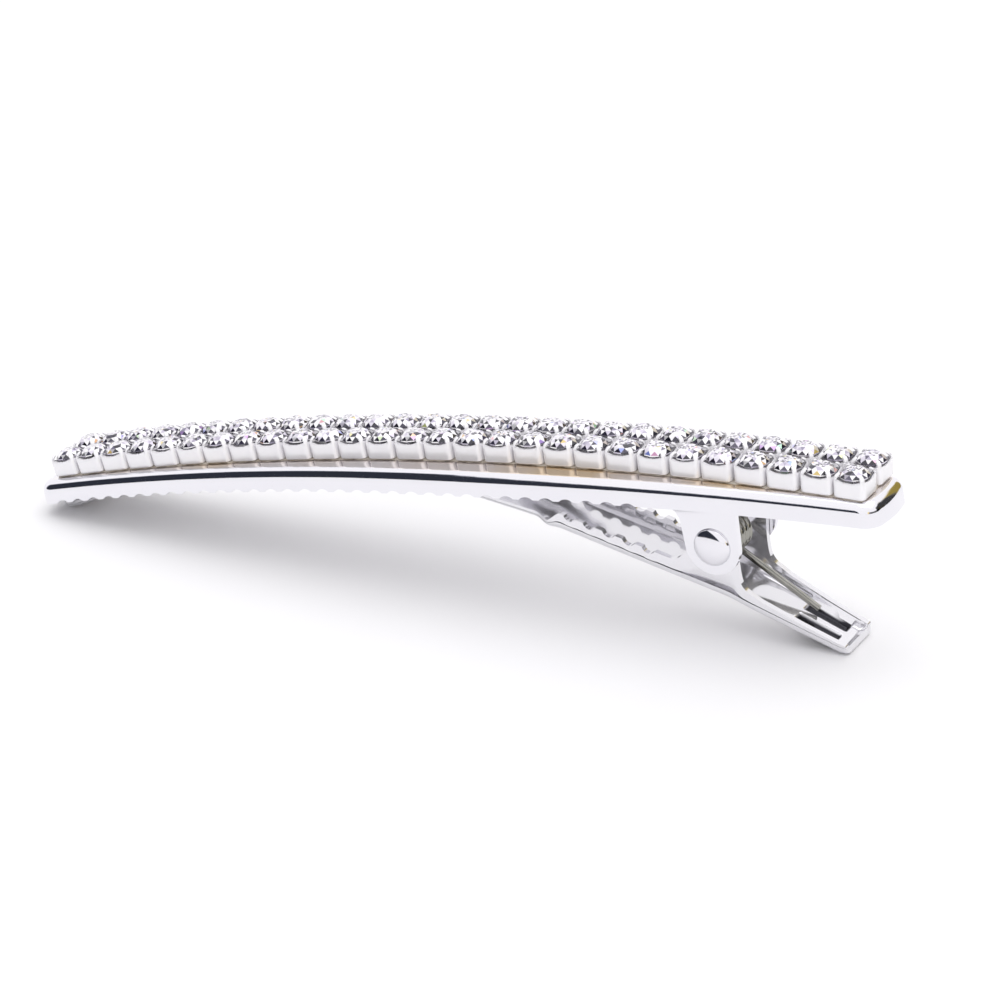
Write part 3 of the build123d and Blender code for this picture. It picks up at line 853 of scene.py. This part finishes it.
stone_points, stone_faces = stone_shape()
for number, distance in enumerate(places):
    parts = []
    for side in (-1, 1):
        spin, lean = rng.uniform(0, 2 * math.pi), rng.uniform(-0.035, 0.035, 2)
        tip = Matrix.Rotation(lean[0], 3, "X") @ Matrix.Rotation(lean[1], 3, "Y")
        turn = tip @ Matrix.Rotation(spin, 3, "Z")
        laid = stone_points @ np.array(turn).T
        laid[:, 2] += GIRDLE_LEVEL
        parts.append((seated(laid, distance, side * ROW_SPACING / 2), stone_faces))
    name = "crystal_pair_" + str(number + 1).zfill(2)
    pair = piece(name, *join(parts), "strap", "crystal", crystal_finish,
                 ("stone_pair_" + str(number + 1).zfill(2),), crease=0, weld=0)
    mesh = pair.data
    mesh.polygons.foreach_set("use_smooth", np.zeros(len(mesh.polygons), bool))
    # painted reflections: each facet gets a tone from near black to white, standing in for the foil and far
    # facets seen through the crystal
    reflection_tones = rng.uniform(size=len(mesh.polygons))
    reflection_tones = np.where(rng.uniform(size=len(reflection_tones)) < 0.27, reflection_tones * 0.3, 0.33 + 0.67 * reflection_tones ** 0.6)
    # painted shade and highlight round the rim: the facets that stand on the girdle are painted dark and the
    # ones between them bright
    spot = np.arange(len(reflection_tones)) % len(stone_faces) - RIM_START
    reflection_tones = np.where((spot >= STONE_SIDES) & (spot < 2 * STONE_SIDES), reflection_tones * 0.3, reflection_tones)
    reflection_tones = np.where((spot >= 0) & (spot < STONE_SIDES), 0.6 + 0.4 * reflection_tones, reflection_tones)
    # painted fire: a few facets get a flash of spectral colour
    painted_fires = np.where(rng.uniform(size=len(reflection_tones)) < 0.035, rng.uniform(0.01, 1.0, len(reflection_tones)), 0.0)
    for attribute, values in (("facet_tone", reflection_tones), ("facet_fire", painted_fires)):
        layer = mesh.attributes.new(attribute, "FLOAT", "FACE")
        layer.data.foreach_set("value", values.astype(np.float32))


# ---------------------------------------------------------------- adhesive

def glue_film():
    """Adhesive: a thin bed under both strands whose edge wanders in and out along the strap."""
    u = np.linspace(-34.6, 34.6, 420)
    share = np.array([-1, -0.97, -0.92, -0.8, -0.4, 0, 0.4, 0.8, 0.92, 0.97, 1])
    wander = 0.1 * np.sin(u * 2.1) + 0.07 * np.sin(u * 5.3 + 1.0) + 0.05 * np.sin(u * 11.7 + 2.0)
    half = 2.46 + 0.5 * wander
    y = half[:, None] * share
    height = 0.13 * np.sqrt(np.clip(1 - share ** 8, 0, 1)) + 0 * y
    top_grid = on_clip(u[:, None] + 0 * y, y, arch_drop(u)[:, None] + height + 0.002)
    foot = on_clip(u[:, None] + 0 * y, y, arch_drop(u)[:, None] - 0.02 + 0 * y)
    return shell(top_grid, foot)


piece("glue_film", *glue_film(), "strap", "adhesive", glue_finish, ("glue_bed",), crease=60.0)


# ---------------------------------------------------------------- room

def lit_room():
    """Soft white tent with a dark opening low in front, one behind on the right, and a gap low on the right.

    The opening behind fades from black to gold towards the back; a warm strip stands by the right-hand gap.
    """
    world = bpy.data.worlds.new("white_tent")
    bpy.context.scene.world = world
    world.use_nodes = True
    tree = world.node_tree
    tree.nodes.clear()
    room = Finish.__new__(Finish)
    room.tree = tree
    way = room.node("ShaderNodeTexCoord", out="Generated")
    split = tree.nodes.new("ShaderNodeSeparateXYZ")
    tree.links.new(way.socket, split.inputs[0])
    x, y, z = (Wave(room, split.outputs[k]) for k in range(3))
    soft = {"interpolation_type": "SMOOTHSTEP"}

    def fade(value, low, high):
        return room.node("ShaderNodeMapRange", soft, {"Value": value, "From Min": low, "From Max": high})

    limit = 0.07 - 1.05 * x
    above = fade(z, -0.03, 0.0)
    opening = fade(0 - y, 0.12, 0.2) * (1 - fade(z - limit, 0.0, 0.05)) * above * fade(limit, 0.0, 0.1)
    side_gap = fade(x, 0.78, 0.84) * (1 - fade(z, 0.2, 0.25)) * above
    sky = 1.08 + 0.04 * fade(z, 0.2, 1.0)
    doorway = fade(y, 0.2, 0.3) * fade(x, 0.1, 0.16) * above * (1 - fade(z, 0.45, 0.55))
    black = fade(x, 0.4, 0.5)
    shade = sky * (1 - 0.965 * opening) * (1 - 0.9 * side_gap) * (1 - doorway * (0.75 + 0.2 * black))
    warm = fade(x, 0.7, 0.76) * (1 - fade(x, 0.78, 0.84)) * (1 - fade(z, 0.25, 0.35))
    colour = room.blend(warm, (1, 0.99, 1.01, 1), (1.0, 0.75, 0.25, 1))
    colour = room.blend(opening, colour, (0.75, 0.85, 1.2, 1))
    colour = room.blend(doorway * (1 - black), colour, (1.3, 1.0, 0.25, 1))
    seen = room.node("ShaderNodeLightPath", out="Is Camera Ray")
    plain = room.node("ShaderNodeBackground", None, {"Color": (1, 1, 1, 1), "Strength": 1.0})
    tent = room.node("ShaderNodeBackground", None, {"Color": colour, "Strength": shade})
    both = room.node("ShaderNodeMixShader", None, {0: seen, 1: tent, 2: plain})
    out = tree.nodes.new("ShaderNodeOutputWorld")
    tree.links.new(both.socket, out.inputs[0])


def pale_floor():
    """Floor: a wide matt sheet, almost white, with a faint mottle."""
    finish = Finish("pale_floor", Roughness=0.7)
    cloud = finish.noise(6.0, 3.0)
    finish.set(**{"Base Color": finish.blend(cloud, (0.97, 0.97, 0.975, 1), (0.94, 0.94, 0.95, 1))})
    mesh = bpy.data.meshes.new("floor")
    reach = 6.0
    mesh.from_pydata([(-reach, -reach, 0), (reach, -reach, 0), (reach, reach, 0), (-reach, reach, 0)], [],
                     [(0, 1, 2, 3)])
    mesh.materials.append(finish.material)
    floor = bpy.data.objects.new("floor", mesh)
    bpy.context.scene.collection.objects.link(floor)


def soft_light(name, place, target, size, power):
    """Square soft light aimed at a point."""
    lamp = bpy.data.lights.new(name, "AREA")
    lamp.shape = "SQUARE"
    lamp.size = size
    lamp.energy = power
    light = bpy.data.objects.new(name, lamp)
    light.location = place
    light.rotation_euler = (Vector(target) - Vector(place)).to_track_quat("-Z", "Y").to_euler()
    bpy.context.scene.collection.objects.link(light)


def camera():
    """Camera above and to the right of the front, turned a little about its own axis."""
    azimuth, elevation, roll = (math.radians(angle) for angle in (31.012, 24.106, 3.948))
    distance, target = 0.243342, Vector((0.004585, -0.000082, 0.006389))
    back = Vector((math.sin(azimuth) * math.cos(elevation), -math.cos(azimuth) * math.cos(elevation),
                   math.sin(elevation)))
    right = Vector((math.cos(azimuth), math.sin(azimuth), 0))
    over = back.cross(right)
    side_axis = right * math.cos(roll) - over * math.sin(roll)
    up_axis = right * math.sin(roll) + over * math.cos(roll)
    lens = bpy.data.cameras.new("camera")
    lens.lens = 119.751
    lens.sensor_width = 36.0
    lens.clip_start = 0.01
    lens.clip_end = 50.0
    view = bpy.data.objects.new("camera", lens)
    turn = Matrix((side_axis, up_axis, back)).transposed().to_4x4()
    view.matrix_world = Matrix.Translation(target + back * distance) @ turn
    bpy.context.scene.collection.objects.link(view)
    bpy.context.scene.camera = view


lit_room()
pale_floor()
soft_light("overhead", (0.15, 0.1, 0.7), (0, 0, 0), 0.8, 1.2)
camera()
bpy.context.scene.view_settings.view_transform = "Standard"
